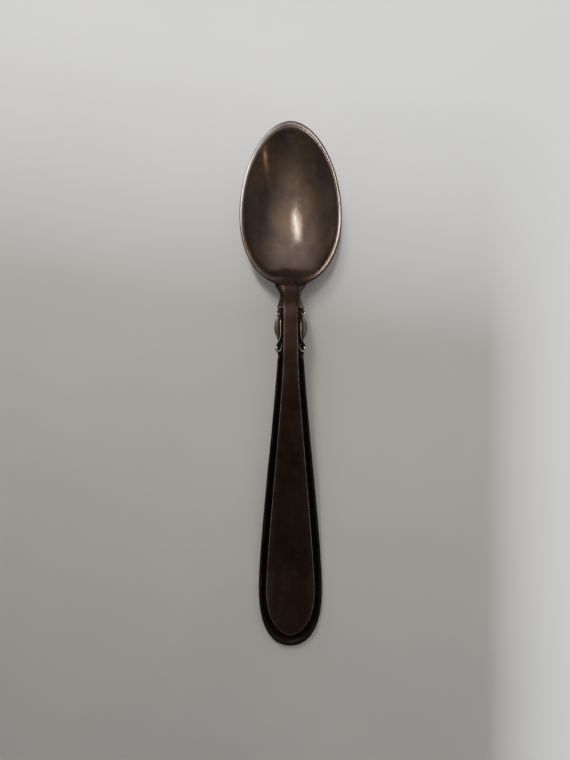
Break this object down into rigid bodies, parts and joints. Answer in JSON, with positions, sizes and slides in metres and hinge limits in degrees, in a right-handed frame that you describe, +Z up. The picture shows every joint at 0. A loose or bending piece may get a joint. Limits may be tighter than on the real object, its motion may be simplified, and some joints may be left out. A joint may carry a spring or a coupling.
{
  "type": "bar spoon",
  "caption": "Short bar and cafe spoon with an egg-shaped bowl, narrow neck, scrolled shoulders and a tapered handle with a raised panel inside a sunk border.",
  "frame": {"origin": "centre of the bounding box in plan, on the table the spoon lies on", "axes": "+Y from the handle's end to the bowl's tip, +X to the right when the bowl points away, +Z up out of the open bowl"},
  "size_m": [0.0238, 0.125, 0.0098],
  "materials": {
    "bowl_silver": "silver, polished once and now under a thin brown tarnish, bright on the worn rim",
    "handle_silver": "silver under dark tarnish, black in the sunk border and worn on the outer thread",
    "panel_silver": "smooth silver under dark brown tarnish with worn, light edges",
    "ornament_silver": "struck silver, black in the hollows and worn bright on the ridges"
  },
  "bodies": {
    "root": {"bowl": "bowl_silver", "neck": "handle_silver", "handle": "handle_silver", "panel": "panel_silver", "scroll_left": "ornament_silver", "scroll_right": "ornament_silver"}
  },
  "joints": []
}
